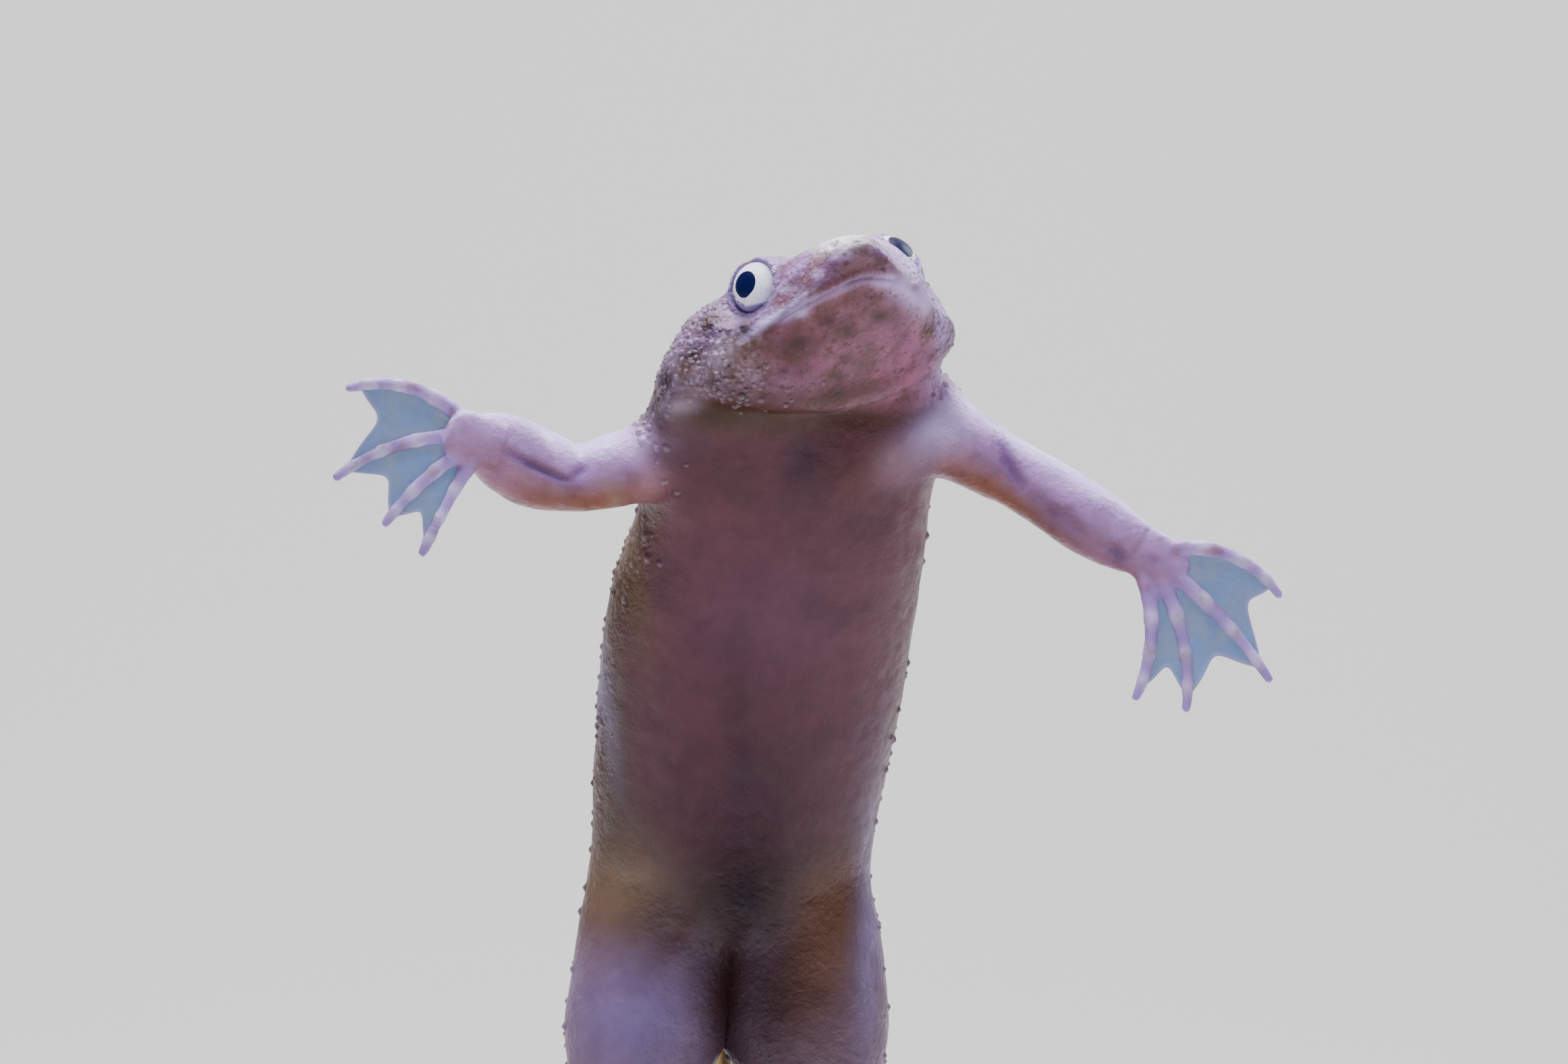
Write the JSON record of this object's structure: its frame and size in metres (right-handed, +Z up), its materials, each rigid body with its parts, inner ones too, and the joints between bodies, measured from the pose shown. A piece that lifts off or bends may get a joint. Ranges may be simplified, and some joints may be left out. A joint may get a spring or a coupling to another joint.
{
  "type": "african dwarf frog",
  "caption": "Small swimming frog held upright, arms spread, fingers and long toes webbed, on a round base with one rod.",
  "frame": {"origin": "centre of the stand's underside", "axes": "+Z up, the belly faces -Y, the frog's right side is at -X"},
  "size_m": [0.054, 0.054, 0.0724],
  "materials": {
    "upper_skin": "wet granular frog skin, mauve brown with pale lavender rims and dark spots",
    "belly_skin": "wet smooth belly skin, dusky mauve brown with olive flanks",
    "limb_skin": "wet skin, pale lavender above and orange brown below",
    "webbed_skin": "thin skin, pale lavender digits and bluish translucent webs",
    "eye": "clear domed eye, silver white iris and near black pupil",
    "claw": "black horn",
    "stand_base": "black satin lacquer",
    "stand_rod": "drawn brass, lightly polished"
  },
  "bodies": {
    "root": {"claw_left_1": "claw", "claw_left_2": "claw", "claw_left_3": "claw", "claw_right_1": "claw", "claw_right_2": "claw", "claw_right_3": "claw", "eye_left": "eye", "eye_right": "eye", "foot_left": "webbed_skin", "foot_right": "webbed_skin", "forearm_left": "limb_skin", "forearm_right": "limb_skin", "hand_left": "webbed_skin", "hand_right": "webbed_skin", "head": "upper_skin", "shank_left": "limb_skin", "shank_right": "limb_skin", "stand_base": "stand_base", "stand_rod": "stand_rod", "thigh_left": "limb_skin", "thigh_right": "limb_skin", "torso": "belly_skin", "upper_arm_left": "limb_skin", "upper_arm_right": "limb_skin"}
  },
  "joints": []
}
